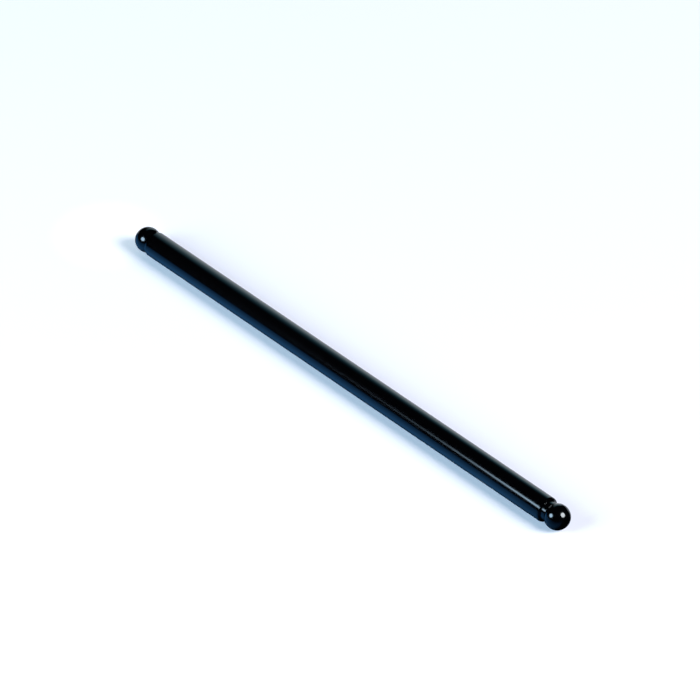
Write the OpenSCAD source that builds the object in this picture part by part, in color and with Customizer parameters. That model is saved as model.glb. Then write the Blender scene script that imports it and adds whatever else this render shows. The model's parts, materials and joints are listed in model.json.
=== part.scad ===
// Engine pushrod: a hollow steel rod formed in one piece, with a ball at each end.
// The rod lies along X with the middle of its length at the origin.
// The rocker ball points to +X and the lifter ball to -X.

/* [Shank] */
// Length over both balls, as if their tips had no oil holes
overall_length = 188; // [120:0.5:300]
// Outside diameter of the shank
shank_d = 7.94; // [7:0.01:9.5]
// Thickness of the tube wall along the shank
wall = 2.03; // [1.2:0.01:2.6]
// Length of the bevel on the outer edge of each shoulder
shoulder_bevel = 0.4; // [0.05:0.05:0.8]
// Angle between that bevel and the axis
shoulder_bevel_angle = 15; // [10:1:40]

/* [Balls] */
// Diameter of both balls
ball_d = 7.94; // [7:0.01:9.5]
// Diameter of the neck between each ball and its shoulder
neck_d = 6.2; // [5:0.1:6.8]
// Slope of each shoulder's face, away from square to the axis
shoulder_slope = 20; // [5:1:40]
// Distance from the centre of the rocker ball to the rim of its shoulder
rocker_shoulder = 4.25; // [3.2:0.05:6]
// Distance from the centre of the lifter ball to the rim of its shoulder
lifter_shoulder = 2.8; // [2.5:0.05:6]

/* [Oil passage] */
// Diameter of the oil hole through each ball
oil_hole_d = 2; // [1:0.1:2.6]
// Width of the bevel around the mouth of each oil hole
mouth_bevel = 0.1; // [0.05:0.05:0.3]
// Included angle of that bevel
mouth_angle = 60; // [50:1:120]
// Included angle of the taper from the tube's bore down to each oil hole
taper_angle = 118; // [60:1:140]

/* [Hidden] */
$fn = 96;
steel_colour = "#14161a";
// A cut runs this far past the surface that it opens
overcut = 1;
bore_d = shank_d - 2 * wall;
bevelled_d = shank_d - 2 * shoulder_bevel * tan(shoulder_bevel_angle);
// Each shoulder's sloping face runs this far along the axis
face_length = (bevelled_d - neck_d) / 2 * tan(shoulder_slope);
// The centres of the balls lie this far from the middle of the rod
ball_x = (overall_length - ball_d) / 2;
taper_length = (bore_d - oil_hole_d) / 2 / tan(taper_angle / 2);
mouth_d = oil_hole_d + 2 * mouth_bevel;
mouth_slope = tan(mouth_angle / 2);
// The mouth opens where the ball is as wide as the mouth
mouth_x = sqrt(pow(ball_d, 2) - pow(mouth_d, 2)) / 2;

// A round bar along X from x_from to x_to, of one diameter or tapering between two
module bar(x_from, x_to, d_from, d_to) {
    translate([x_from, 0, 0])
        rotate([0, 90, 0])
            cylinder(h = x_to - x_from, d1 = d_from, d2 = d_to);
}

// The ball at the +X end, its neck, and the bevelled edge and sloping shoulder of the shank
module ball_end(shoulder) {
    shoulder_x = ball_x - shoulder;
    bar(0, shoulder_x - shoulder_bevel, shank_d, shank_d);
    bar(shoulder_x - shoulder_bevel, shoulder_x, shank_d, bevelled_d);
    bar(shoulder_x, shoulder_x + face_length, bevelled_d, neck_d);
    bar(0, ball_x, neck_d, neck_d);
    translate([ball_x, 0, 0])
        sphere(d = ball_d);
}

// The bore of the +X half, its taper inside the ball, the oil hole and its bevelled mouth
module oil_way() {
    bar(-overcut, ball_x, bore_d, bore_d);
    bar(ball_x, ball_x + taper_length, bore_d, oil_hole_d);
    bar(ball_x, ball_x + ball_d, oil_hole_d, oil_hole_d);
    bar(
        ball_x + mouth_x - mouth_bevel / mouth_slope,
        ball_x + mouth_x + overcut,
        oil_hole_d,
        mouth_d + 2 * overcut * mouth_slope
    );
}

module pushrod() {
    color(steel_colour)
        difference() {
            union() {
                ball_end(rocker_shoulder);
                mirror([1, 0, 0])
                    ball_end(lifter_shoulder);
            }
            oil_way();
            mirror([1, 0, 0])
                oil_way();
        }
}

pushrod();
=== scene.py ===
# %% [markdown]
# # An engine pushrod
# A pushrod carries the lift of a camshaft up to a rocker arm. It is one hollow steel
# rod with a ball formed on each end, finished in a glossy blue-black. This lesson
# turns that one rod on a lathe made of Geometry Nodes, gives it its finish, and lights
# it so that the dark, mirror-like surface shows its shape.

# %% Load the frame
import json
import math

import bpy
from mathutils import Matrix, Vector


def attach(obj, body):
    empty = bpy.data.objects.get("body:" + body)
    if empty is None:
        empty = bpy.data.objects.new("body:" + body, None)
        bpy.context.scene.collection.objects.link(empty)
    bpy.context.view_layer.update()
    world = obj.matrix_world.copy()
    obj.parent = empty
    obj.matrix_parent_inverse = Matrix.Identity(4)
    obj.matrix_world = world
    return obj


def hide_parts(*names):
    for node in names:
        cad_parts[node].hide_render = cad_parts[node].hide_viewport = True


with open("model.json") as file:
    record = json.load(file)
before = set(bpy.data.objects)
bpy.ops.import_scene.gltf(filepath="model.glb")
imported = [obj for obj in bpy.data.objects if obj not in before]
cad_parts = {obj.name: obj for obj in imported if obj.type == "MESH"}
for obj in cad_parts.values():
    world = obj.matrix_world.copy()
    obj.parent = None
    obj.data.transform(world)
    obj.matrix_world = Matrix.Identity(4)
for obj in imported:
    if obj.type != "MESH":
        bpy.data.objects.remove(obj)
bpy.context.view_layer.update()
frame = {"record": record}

# %% [markdown]
# ## Sizes
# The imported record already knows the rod: its shank is a pin, its balls and its oil
# holes have radii and places. Reading them from there keeps this model and the solid
# alike. Only the small forms that the record doesn't name are given here. All sizes
# are in millimetres until the outline becomes a curve.

# %% Sizes of the rod
MM = 0.001
mounts = {mount["name"]: mount for mount in frame["record"]["mounts"]}
shank = mounts["shank"]
shank_r = shank["dims"]["r_mm"]
shank_half = shank["dims"]["length_mm"] / 2
shank_middle = shank["pos_m"][0] / MM
ball_r = mounts["rocker_ball"]["dims"]["r_mm"]
ball_x = mounts["rocker_ball"]["pos_m"][0] / MM
oil_r = mounts["rocker_oil_hole"]["dims"]["r_mm"]
wall = 2.03
bore_r = shank_r - wall
neck_r = 3.1
shoulder_slope = math.radians(20)
bevel_length = 0.4
bevel_angle = math.radians(15)
mouth_bevel = 0.1
mouth_half_angle = math.radians(30)
taper_half_angle = math.radians(59)
print(f"Shank radius {shank_r} mm, balls at {ball_x:.2f} mm on both sides of the middle")

# %% [markdown]
# ## One end's outline
# A round part is drawn as half of its section: distance along the axis and distance
# from the axis. Each end is a run of straight lines and one arc, from the bevelled edge
# of the shank down the sloping shoulder, along the neck, over the ball and into the oil
# hole. One function draws it, and the two ends differ only in how close the shank comes
# to the ball.

# %% Outline of one end
BALL_STEPS = 56


def arc(centre_x, radius, start, stop, steps):
    """Points on an arc round a place on the axis; 0 degrees is along the axis, 90 is away from it."""
    angles = [math.radians(start + (stop - start) * i / steps) for i in range(steps + 1)]
    return [(centre_x + radius * math.cos(a), radius * math.sin(a)) for a in angles]


def end_outline(shank_end):
    """From the end of the plain shank, over the ball, to the bore inside, for the +X end."""
    shoulder_x = shank_end + bevel_length
    bevelled_r = shank_r - bevel_length * math.tan(bevel_angle)
    ball_start = 180 - math.degrees(math.asin(neck_r / ball_r))
    ball_stop = math.degrees(math.asin((oil_r + mouth_bevel) / ball_r))
    mouth_x = ball_x + ball_r * math.cos(math.radians(ball_stop))
    taper_length = (bore_r - oil_r) / math.tan(taper_half_angle)
    neck_x = shoulder_x + (bevelled_r - neck_r) * math.tan(shoulder_slope)
    points = [(shank_end, shank_r), (shoulder_x, bevelled_r), (neck_x, neck_r)]
    points += arc(ball_x, ball_r, ball_start, ball_stop, BALL_STEPS)
    points += [(mouth_x - mouth_bevel / math.tan(mouth_half_angle), oil_r)]
    points += [(ball_x + taper_length, oil_r), (ball_x, bore_r)]
    return points


rocker_end = end_outline(shank_half + shank_middle)
lifter_end = [(-x, r) for x, r in end_outline(shank_half - shank_middle)]
outline = rocker_end + lifter_end[::-1]
print(f"The outline has {len(outline)} points")

# %% [markdown]
# ## The lathe
# The real rod is turned and ground round its axis, so a lathe is the natural rule. A
# Screw modifier could do it, but a small node tree shows how: the outline is swept
# round a circle so small that it lies on the axis, and the result is tipped over from
# Z to X. Edges that turn sharply stay sharp, and all the rest is shaded smooth.

# %% A helper for all node trees
def add_node(tree, kind, inputs=None, **settings):
    """Adds a node, sets its settings, and sets or links its inputs."""
    node = tree.nodes.new(kind)
    for name, value in settings.items():
        setattr(node, name, value)
    for name, value in (inputs or {}).items():
        if isinstance(value, bpy.types.NodeSocket):
            tree.links.new(value, node.inputs[name])
        else:
            node.inputs[name].default_value = value
    return node


# %% The outline as a curve
outline_curve = bpy.data.curves.new("rod_outline", "CURVE")
outline_curve.dimensions = "3D"
spline = outline_curve.splines.new("POLY")
spline.points.add(len(outline) - 1)
for point, (x, r) in zip(spline.points, outline):
    point.co = (r * MM, x * MM, 0, 1)
spline.use_cyclic_u = True
outline_object = bpy.data.objects.new("rod_outline", outline_curve)
bpy.context.scene.collection.objects.link(outline_object)
print(f"The outline runs from {outline[0]} and closes on itself")

# %% The lathe's node tree
ALMOST_ZERO = 1e-9
lathe = bpy.data.node_groups.new("lathe", "GeometryNodeTree")
inlets = {}
for name, kind in {
    "Outline": "NodeSocketObject",
    "Segments": "NodeSocketInt",
    "Sharp angle": "NodeSocketFloat",
    "Finish": "NodeSocketMaterial",
}.items():
    inlets[name] = lathe.interface.new_socket(name, in_out="INPUT", socket_type=kind).identifier
lathe.interface.new_socket("Geometry", in_out="OUTPUT", socket_type="NodeSocketGeometry")

given = add_node(lathe, "NodeGroupInput").outputs
section = add_node(lathe, "GeometryNodeObjectInfo", {"Object": given["Outline"]})
circle = add_node(
    lathe,
    "GeometryNodeCurvePrimitiveCircle",
    {"Resolution": given["Segments"], "Radius": ALMOST_ZERO},
)
upright = add_node(
    lathe, "GeometryNodeSetCurveNormal", {"Curve": circle.outputs["Curve"]}, mode="Z_UP"
)
turned = add_node(
    lathe,
    "GeometryNodeCurveToMesh",
    {"Curve": upright.outputs["Curve"], "Profile Curve": section.outputs["Geometry"]},
)
laid = add_node(
    lathe,
    "GeometryNodeTransform",
    {"Geometry": turned.outputs["Mesh"], "Rotation": (0, -math.pi / 2, 0)},
)
smooth = add_node(lathe, "GeometryNodeSetShadeSmooth", {"Geometry": laid.outputs["Geometry"]})
edge_angle = add_node(lathe, "GeometryNodeInputMeshEdgeAngle")
sharp = add_node(
    lathe,
    "FunctionNodeCompare",
    {0: edge_angle.outputs["Unsigned Angle"], 1: given["Sharp angle"]},
)
creased = add_node(
    lathe,
    "GeometryNodeSetShadeSmooth",
    {
        "Geometry": smooth.outputs["Geometry"],
        "Selection": sharp.outputs["Result"],
        "Shade Smooth": False,
    },
    domain="EDGE",
)
real = add_node(lathe, "GeometryNodeRealizeInstances", {"Geometry": creased.outputs["Geometry"]})
finished = add_node(
    lathe,
    "GeometryNodeSetMaterial",
    {"Geometry": real.outputs["Geometry"], "Material": given["Finish"]},
)
add_node(lathe, "NodeGroupOutput", {"Geometry": finished.outputs["Geometry"]})
print(f"The lathe has {len(lathe.nodes)} nodes")

# %% [markdown]
# ## The finish
# The steel is hardened, ground and blackened. The black layer is dark right through,
# so almost all that the eye gets is gloss: a clear, slightly blue reflection like that
# of a lacquer. Grinding leaves very fine rings round the rod. They are far finer than
# a pixel here, so they are drawn coarser, and only as a breath of roughness.

# %% Colour helper
def linear(hex_colour):
    """Turns an sRGB hex colour into the linear colour that shaders use."""
    parts = [int(hex_colour[i : i + 2], 16) / 255 for i in (1, 3, 5)]
    parts = [p / 12.92 if p <= 0.04045 else ((p + 0.055) / 1.055) ** 2.4 for p in parts]
    return tuple(parts) + (1.0,)


# %% Blackened steel
# Black oxide on polished steel: to the eye a deep black with a clear, cool gloss.
RING_SPACING = 0.45
RING_REACH = 9.0
RING_DEPTH = 0.02
ROUGHNESS = (0.1, 0.13)
NOISE_RANGE = (0.3, 0.7)
black_steel = bpy.data.materials.new("black_oxide_steel_polished")
black_steel.use_nodes = True
tree = black_steel.node_tree
tree.nodes.clear()
place = add_node(tree, "ShaderNodeTexCoord").outputs["Object"]
ring_scale = [1 / (size * MM) for size in (RING_SPACING, RING_REACH, RING_REACH)]
stretched = add_node(tree, "ShaderNodeMapping", {"Vector": place, "Scale": ring_scale})
rings = add_node(
    tree, "ShaderNodeTexNoise", {"Vector": stretched.outputs["Vector"], "Scale": 1.0, "Detail": 3.0}
)
gloss = add_node(
    tree,
    "ShaderNodeMapRange",
    {
        "Value": rings.outputs["Fac"],
        "From Min": NOISE_RANGE[0],
        "From Max": NOISE_RANGE[1],
        "To Min": ROUGHNESS[0],
        "To Max": ROUGHNESS[1],
    },
)
bump = add_node(
    tree,
    "ShaderNodeBump",
    {"Height": rings.outputs["Fac"], "Strength": 0.01, "Distance": RING_DEPTH * MM},
)
steel = add_node(
    tree,
    "ShaderNodeBsdfPrincipled",
    {
        "Base Color": linear("#010102"),
        "Metallic": 0.0,
        "Roughness": gloss.outputs["Result"],
        "IOR": 1.5,
        "Normal": bump.outputs["Normal"],
        "Specular Tint": linear("#e6f6ff"),
    },
)
add_node(tree, "ShaderNodeOutputMaterial", {"Surface": steel.outputs["BSDF"]})
print(f"Finish ready: {black_steel.name}")

# %% [markdown]
# ## Turning the rod
# The tree runs on an empty mesh through a modifier. Its inputs are set before the rod
# is first evaluated, and the result is then copied to a plain mesh.

# %% Turn the rod
blank = bpy.data.objects.new("blank", bpy.data.meshes.new("blank"))
bpy.context.scene.collection.objects.link(blank)
turning = blank.modifiers.new("lathe", "NODES")
turning.node_group = lathe
turning[inlets["Outline"]] = outline_object
turning[inlets["Segments"]] = 160
turning[inlets["Sharp angle"]] = math.radians(12)
turning[inlets["Finish"]] = black_steel
depsgraph = bpy.context.evaluated_depsgraph_get()
rod_mesh = bpy.data.meshes.new_from_object(blank.evaluated_get(depsgraph), depsgraph=depsgraph)
rod_mesh.name = "pushrod_body"
rod = bpy.data.objects.new("pushrod_body", rod_mesh)
bpy.context.scene.collection.objects.link(rod)
for helper in (blank, outline_object):
    bpy.data.objects.remove(helper)
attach(rod, "root")
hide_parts("pushrod")
print(f"The rod has {len(rod_mesh.vertices)} points and {len(rod_mesh.polygons)} faces")

# %% [markdown]
# ## Floor
# The rod lies on a white table, whose light is what a dark gloss mostly shows. The
# floor is a plain matt white that takes the shadows, and a little cool light of its own
# lifts it to a white background. For reflections alone it glows with painted tones that
# run along the rod: a painted pale reflection behind, and in front a painted cool blue
# reflection that fades with distance and towards the rocker ball. Pairs of values say
# where along an axis, in millimetres, a tone starts to change and where it has changed.

# %% A flat panel
def panel(name, centre_mm, width_mm, depth_mm):
    """A flat panel of the given size that faces up and isn't part of the rod."""
    mesh = bpy.data.meshes.new(name)
    corners = [(-1, -1), (1, -1), (1, 1), (-1, 1)]
    points = [(a * width_mm / 2 * MM, b * depth_mm / 2 * MM, 0) for a, b in corners]
    mesh.from_pydata(points, [], [(0, 1, 2, 3)])
    made = bpy.data.objects.new(name, mesh)
    made.location = Vector(centre_mm) * MM
    bpy.context.scene.collection.objects.link(made)
    return made


def empty_material(name):
    """A new material with no nodes in its tree yet."""
    made = bpy.data.materials.new(name)
    made.use_nodes = True
    made.node_tree.nodes.clear()
    return made


FLOOR_ACROSS = 12000
floor = panel("floor", (0, 0, -shank_r), FLOOR_ACROSS, FLOOR_ACROSS)
print(f"Floor at {floor.location.z / MM:.2f} mm")

# %% Painted reflection: the glow that the gloss sees on the floor in front of the rod
# A painted blue reflection, a glow on the floor that only reflections see: strongest close to the
# rod, weaker with the distance in front of it.
FALL_OFF = 35
FALL_OFF_START = 28
FRONT_END = (60, 115)
FRONT_REST = 0.1
FRONT_START = (-2, -7)
FRONT_GLOW = 1.1
table_white = empty_material("matt_white_table")
floor.data.materials.append(table_white)
tree = table_white.node_tree
spot = add_node(tree, "ShaderNodeTexCoord").outputs["Object"]
along = add_node(tree, "ShaderNodeSeparateXYZ", {"Vector": spot}).outputs
side = add_node(
    tree,
    "ShaderNodeMapRange",
    {
        "Value": along["X"],
        "From Min": FRONT_END[0] * MM,
        "From Max": FRONT_END[1] * MM,
        "To Min": 1.0,
        "To Max": FRONT_REST,
    },
    interpolation_type="SMOOTHSTEP",
)
reach = add_node(
    tree, "ShaderNodeMath", {0: FALL_OFF_START * MM, 1: along["Y"]}, operation="SUBTRACT"
)
distance = add_node(
    tree, "ShaderNodeMath", {0: FALL_OFF * MM, 1: reach.outputs[0]}, operation="DIVIDE"
)
contact = add_node(
    tree,
    "ShaderNodeMapRange",
    {
        "Value": along["Y"],
        "From Min": FRONT_START[0] * MM,
        "From Max": FRONT_START[1] * MM,
        "To Min": 0.0,
        "To Max": FRONT_GLOW,
    },
    interpolation_type="SMOOTHSTEP",
)
near = add_node(
    tree, "ShaderNodeMath", {0: distance.outputs[0], 1: contact.outputs[0]}, operation="MULTIPLY"
)
cool = add_node(
    tree, "ShaderNodeMath", {0: near.outputs[0], 1: side.outputs[0]}, operation="MULTIPLY"
)
front = add_node(
    tree, "ShaderNodeEmission", {"Color": linear("#5cb0ff"), "Strength": cool.outputs[0]}
)
print("In front the gloss sees a cool blue")

# %% Painted reflection: the glow that the gloss sees on the floor behind the rod
# A painted pale reflection, a glow on the floor that only reflections see; it ends beside the rocker
# ball, which stays dark on that side.
BEHIND_END = (90, 94)
BEHIND_START = (-1, 3)
BEHIND_GLOW = 0.95
edge = add_node(
    tree,
    "ShaderNodeMapRange",
    {
        "Value": along["X"],
        "From Min": BEHIND_END[0] * MM,
        "From Max": BEHIND_END[1] * MM,
        "To Min": BEHIND_GLOW,
        "To Max": 0.0,
    },
    interpolation_type="SMOOTHSTEP",
)
back = add_node(
    tree,
    "ShaderNodeMapRange",
    {"Value": along["Y"], "From Min": BEHIND_START[0] * MM, "From Max": BEHIND_START[1] * MM},
    interpolation_type="SMOOTHSTEP",
)
pale = add_node(
    tree, "ShaderNodeMath", {0: edge.outputs[0], 1: back.outputs[0]}, operation="MULTIPLY"
)
behind = add_node(
    tree, "ShaderNodeEmission", {"Color": linear("#eef4ff"), "Strength": pale.outputs[0]}
)
painted_reflections = add_node(tree, "ShaderNodeAddShader", {0: front.outputs[0], 1: behind.outputs[0]})
print("Behind it sees a pale table")

# %% What the camera sees of the floor
# Matt white paint: to the eye an even, pale ground that shows only the soft shadow.
# Past the lifter ball's end, a painted pool of light makes the ball's shadow on the floor a little
# paler.
PAINTED_LIGHT_PLACE = Vector((-104, -4, 0)) * MM
PAINTED_LIGHT_REACH = (20, 6)
ray = add_node(tree, "ShaderNodeLightPath").outputs
seen = add_node(
    tree,
    "ShaderNodeMath",
    {0: ray["Is Camera Ray"], 1: ray["Is Transmission Ray"]},
    operation="ADD",
)
matt = add_node(tree, "ShaderNodeBsdfDiffuse", {"Color": linear("#d2d2d2")})
from_painted_light = add_node(
    tree, "ShaderNodeVectorMath", {0: spot, 1: PAINTED_LIGHT_PLACE}, operation="DISTANCE"
)
painted_light_mask = add_node(
    tree,
    "ShaderNodeMapRange",
    {
        "Value": from_painted_light.outputs["Value"],
        "From Min": PAINTED_LIGHT_REACH[0] * MM,
        "From Max": PAINTED_LIGHT_REACH[1] * MM,
    },
    interpolation_type="SMOOTHSTEP",
)
lift_with_painted_light = add_node(
    tree,
    "ShaderNodeMix",
    {0: painted_light_mask.outputs[0], 6: linear("#6885a7"), 7: linear("#9baabf")},
    data_type="RGBA",
)
lift = add_node(
    tree, "ShaderNodeEmission", {"Color": lift_with_painted_light.outputs[2], "Strength": seen.outputs[0]}
)
lit = add_node(tree, "ShaderNodeAddShader", {0: matt.outputs[0], 1: lift.outputs[0]})
both = add_node(
    tree,
    "ShaderNodeMixShader",
    {0: ray["Is Glossy Ray"], 1: lit.outputs[0], 2: painted_reflections.outputs[0]},
)
add_node(tree, "ShaderNodeOutputMaterial", {"Surface": both.outputs[0]})
print(f"The floor's material has {len(tree.nodes)} nodes")

# %% [markdown]
# ## Lamps
# Two soft lamps light the table. The key stands past the rocker ball and throws the
# strong shadow, and the cooler fill stands low in front on the other side.

# %% Lamps
def lamp(name, place_mm, across_mm, radiance, colour):
    """A round soft lamp that faces the rod, with a face of the given radiance."""
    data = bpy.data.lights.new(name, "AREA")
    data.shape = "DISK"
    data.size = across_mm * MM
    data.energy = radiance * math.pi * math.pi * (data.size / 2) ** 2
    data.color = linear(colour)[:3]
    made = bpy.data.objects.new(name, data)
    made.location = Vector(place_mm) * MM
    made.rotation_mode = "QUATERNION"
    made.rotation_quaternion = made.location.to_track_quat("Z", "Y")
    made.visible_camera = False
    bpy.context.scene.collection.objects.link(made)
    print(f"{name}: {data.energy:.2f} W")
    return made


KEY_DIRECTION = Vector((0.743, 0.272, 0.603))
KEY_DISTANCE = 2400
KEY_ACROSS = 0.64 * KEY_DISTANCE
KEY_PLACE = Vector((ball_x, 0, 0)) + KEY_DISTANCE * KEY_DIRECTION
KEY_RADIANCE = 18.9
FILL_PLACE = Vector((-280, -900, 494))
FILL_ACROSS = 680
FILL_RADIANCE = 10.5
lamp("key_lamp", KEY_PLACE, KEY_ACROSS, KEY_RADIANCE, "#fff5f4")
fill_lamp = lamp("fill_lamp", FILL_PLACE, FILL_ACROSS, FILL_RADIANCE, "#e6fcff")
fill_lamp.visible_glossy = False

# %% [markdown]
# ## What the gloss mirrors
# A polished black rod is read from its reflections. A glowing panel that stands for the
# fill's face, bright in the middle and soft at its rim, draws painted highlights: the
# spots on the balls and the line that starts part of the way along the shank. A glowing
# pale card past the lifter ball paints a soft reflection on the upper edge. It fades
# upwards and at its lower front corner. Both are panels that only reflections see, so
# that they can be shaped without changing the light on the table.

# %% Panels seen only in reflections
def mirrored_panel(name, centre_mm, turn, width_mm, depth_mm):
    """A glowing panel for reflections alone; returns its material."""
    made = panel(name, centre_mm, width_mm, depth_mm)
    made.rotation_euler = turn
    made.visible_camera = False
    made.visible_diffuse = False
    made.visible_shadow = False
    glow = empty_material(name)
    made.data.materials.append(glow)
    print(f"{name}: {width_mm} mm by {depth_mm} mm")
    return glow


# %% Painted highlights: a glowing face for the fill
FACE_PLACE = (-183, -614, 337)
FACE_LENGTH = 535
FACE_DEPTH = 440
FACE_GLOW = 16
RIM_START = 0.626
face_turn = (math.atan2(-FACE_PLACE[1], FACE_PLACE[2]), 0, 0)
tree = mirrored_panel("fill_face", FACE_PLACE, face_turn, FACE_LENGTH, FACE_DEPTH).node_tree
spot = add_node(tree, "ShaderNodeTexCoord").outputs["Object"]
oval = add_node(
    tree,
    "ShaderNodeMapping",
    {"Vector": spot, "Scale": (2 / (FACE_LENGTH * MM), 2 / (FACE_DEPTH * MM), 1)},
)
from_middle = add_node(
    tree, "ShaderNodeVectorMath", {0: oval.outputs["Vector"]}, operation="LENGTH"
)
soft_rim = add_node(
    tree,
    "ShaderNodeMapRange",
    {
        "Value": from_middle.outputs["Value"],
        "From Min": RIM_START,
        "To Min": FACE_GLOW,
        "To Max": 0.0,
    },
    interpolation_type="SMOOTHSTEP",
)
glow = add_node(
    tree, "ShaderNodeEmission", {"Color": linear("#d6ecff"), "Strength": soft_rim.outputs[0]}
)
add_node(tree, "ShaderNodeOutputMaterial", {"Surface": glow.outputs[0]})

# %% Painted reflection: a glowing pale card
CARD_HEIGHT = 650
CARD_DEPTH = 860
CARD_PLACE = (-450, 470, CARD_HEIGHT / 2)
CARD_GLOW = 1.17
FADE_HEIGHT = 130
CORNER_SLANT = (0.5, 1, 0)
CORNER_FADE = (-332, -92)
card_turn = (0, -math.pi / 2, 0)
tree = mirrored_panel("pale_card", CARD_PLACE, card_turn, CARD_HEIGHT, CARD_DEPTH).node_tree
spot = add_node(tree, "ShaderNodeTexCoord").outputs["Object"]
height = add_node(tree, "ShaderNodeSeparateXYZ", {"Vector": spot}).outputs["X"]
upwards = add_node(
    tree,
    "ShaderNodeMapRange",
    {
        "Value": height,
        "From Min": (FADE_HEIGHT - CARD_HEIGHT / 2) * MM,
        "From Max": CARD_HEIGHT / 2 * MM,
    },
    interpolation_type="SMOOTHSTEP",
)
tone = add_node(
    tree,
    "ShaderNodeMix",
    {0: upwards.outputs[0], 6: linear("#e4f8ff"), 7: linear("#6ce0ff")},
    data_type="RGBA",
)
fading = add_node(
    tree, "ShaderNodeMapRange", {"Value": upwards.outputs[0], "To Min": CARD_GLOW, "To Max": 0.0}
)
slant = add_node(
    tree, "ShaderNodeVectorMath", {0: spot, 1: CORNER_SLANT}, operation="DOT_PRODUCT"
)
corner = add_node(
    tree,
    "ShaderNodeMapRange",
    {
        "Value": slant.outputs["Value"],
        "From Min": CORNER_FADE[0] * MM,
        "From Max": CORNER_FADE[1] * MM,
    },
    interpolation_type="SMOOTHSTEP",
)
strength = add_node(
    tree, "ShaderNodeMath", {0: fading.outputs[0], 1: corner.outputs[0]}, operation="MULTIPLY"
)
glow = add_node(
    tree, "ShaderNodeEmission", {"Color": tone.outputs[2], "Strength": strength.outputs[0]}
)
add_node(tree, "ShaderNodeOutputMaterial", {"Surface": glow.outputs[0]})

# %% [markdown]
# ## World
# The room behind the lamps is almost dark, so that the parts of the rod that mirror
# neither table nor lamp stay deep black.

# %% World
ROOM_GLOW = 0.004
world = bpy.data.worlds.new("studio")
bpy.context.scene.world = world
world.use_nodes = True
room = world.node_tree.nodes["Background"].inputs
room["Color"].default_value = linear("#ffffff")
room["Strength"].default_value = ROOM_GLOW
print(f"Room light {ROOM_GLOW}")

# %% [markdown]
# ## Camera
# The camera looks down on the rod from beyond the rocker ball with a long lens, so the
# two balls look almost the same size.

# %% Camera
CAMERA_TURN = math.radians(-47.75)
CAMERA_HEIGHT = math.radians(37.75)
CAMERA_DISTANCE = 2219
CAMERA_AIM = Vector((-8.51, 8.58, 0))
LENS_LENGTH = 384
SENSOR_WIDTH = 36
forward = Vector((
    math.sin(CAMERA_TURN) * math.cos(CAMERA_HEIGHT),
    math.cos(CAMERA_TURN) * math.cos(CAMERA_HEIGHT),
    -math.sin(CAMERA_HEIGHT),
))
camera_data = bpy.data.cameras.new("camera")
camera_data.lens = LENS_LENGTH
camera_data.sensor_width = SENSOR_WIDTH
camera = bpy.data.objects.new("camera", camera_data)
camera.rotation_mode = "QUATERNION"
camera.location = (CAMERA_AIM - CAMERA_DISTANCE * forward) * MM
camera.rotation_quaternion = forward.to_track_quat("-Z", "Y")
bpy.context.scene.collection.objects.link(camera)
bpy.context.scene.camera = camera
print(f"Camera {camera.location.length:.2f} m away")

# %% [markdown]
# ## Finishing
# The colours are shown as they are, with no film look.

# %% Finish
bpy.context.scene.view_settings.view_transform = "Standard"
